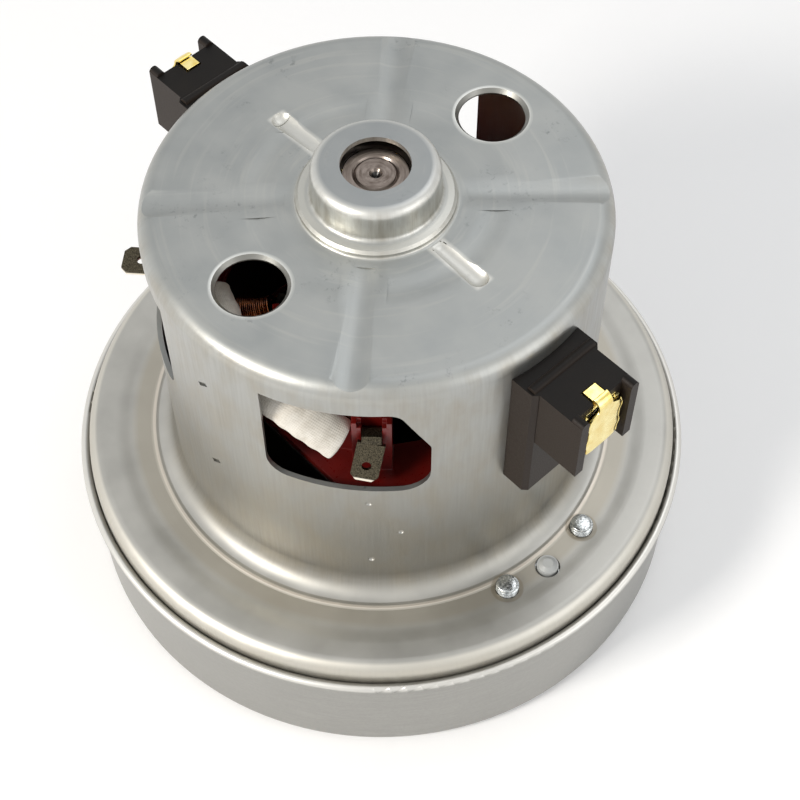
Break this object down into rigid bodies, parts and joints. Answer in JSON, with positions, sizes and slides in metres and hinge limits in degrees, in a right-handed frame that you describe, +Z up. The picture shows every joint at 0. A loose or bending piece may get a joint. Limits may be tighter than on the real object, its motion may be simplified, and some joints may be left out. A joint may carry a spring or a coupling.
{
  "type": "vacuum motor unit",
  "caption": "Brushed vacuum cleaner motor in a drawn steel can on a round fan casing, with impeller, brushes, bearings and spade terminals.",
  "frame": {"origin": "bottom centre of the fan casing, on the rotor axis", "axes": "+Z up along the shaft to the bearing boss, +X along the brush holders"},
  "size_m": [0.131, 0.131, 0.1077],
  "materials": {
    "zinc_steel": "zinc-plated drawn sheet, satin",
    "bright_steel": "ground or plated steel",
    "lamination_steel": "stacked sheet, dark",
    "impeller_aluminium": "rolled sheet",
    "grey_plastic": "moulded light grey",
    "black_plastic": "moulded black",
    "red_plastic": "moulded red brown",
    "copper": "enamelled copper wire, copper bars",
    "brass": "stamped brass",
    "carbon": "pressed carbon",
    "woven_sleeve": "woven glass fibre"
  },
  "bodies": {
    "frame": {"fan_casing": "zinc_steel", "motor_can": "zinc_steel", "diffuser": "grey_plastic", "bearing_bridge": "bright_steel", "bridge_screws": "bright_steel", "stator_core": "lamination_steel", "field_coil_front": "copper", "field_coil_rear": "copper", "upper_coil_frame": "red_plastic", "lower_coil_frame": "red_plastic", "terminal_front": "bright_steel", "terminal_side": "bright_steel", "lead_sleeve": "woven_sleeve", "brush_housing_a": "black_plastic", "brush_housing_b": "black_plastic", "brush_tube_a": "brass", "brush_tube_b": "brass", "brush_clip_a": "brass", "brush_clip_b": "brass", "brush_spring_a": "bright_steel", "brush_spring_b": "bright_steel", "upper_bearing_outer_ring": "bright_steel", "lower_bearing_outer_ring": "bright_steel", "upper_bearing_shields": "bright_steel", "lower_bearing_shields": "bright_steel", "bearing_wave_washer": "bright_steel"},
    "rotor": {"shaft": "bright_steel", "armature_core": "lamination_steel", "armature_winding": "copper", "commutator_hub": "black_plastic", "commutator_bars": "copper", "upper_bearing_inner_ring": "bright_steel", "lower_bearing_inner_ring": "bright_steel", "impeller_back_plate": "impeller_aluminium", "impeller_blades": "impeller_aluminium", "impeller_front_plate": "impeller_aluminium", "impeller_inner_washer": "bright_steel", "impeller_outer_washer": "bright_steel", "impeller_spacer": "bright_steel", "impeller_nut": "bright_steel"},
    "upper_cage": {"upper_bearing_balls": "bright_steel"},
    "lower_cage": {"lower_bearing_balls": "bright_steel"},
    "brush_a": {"carbon_brush_a": "carbon"},
    "brush_b": {"carbon_brush_b": "carbon"}
  },
  "joints": [
    {"name": "rotor_spin", "type": "hinge", "parent": "frame", "child": "rotor", "pos_m": [0, 0, 0.05], "axis": [0, 0, 1], "continuous": true},
    {"name": "upper_cage_spin", "type": "hinge", "parent": "frame", "child": "upper_cage", "pos_m": [0, 0, 0.1017], "axis": [0, 0, 1], "continuous": true},
    {"name": "lower_cage_spin", "type": "hinge", "parent": "frame", "child": "lower_cage", "pos_m": [0, 0, 0.0255], "axis": [0, 0, 1], "continuous": true},
    {"name": "brush_a_slide", "type": "slide", "parent": "frame", "child": "brush_a", "axis": [1, 0, 0], "range_m": [0, 0.006], "stiffness_N_per_m": 60, "deforming": ["brush_spring_a"]},
    {"name": "brush_b_slide", "type": "slide", "parent": "frame", "child": "brush_b", "axis": [-1, 0, 0], "range_m": [0, 0.006], "stiffness_N_per_m": 60, "deforming": ["brush_spring_b"]}
  ],
  "couplings": [
    {"joint": "upper_cage_spin", "follows": "rotor_spin", "ratio": 0.37},
    {"joint": "lower_cage_spin", "follows": "rotor_spin", "ratio": 0.37}
  ]
}
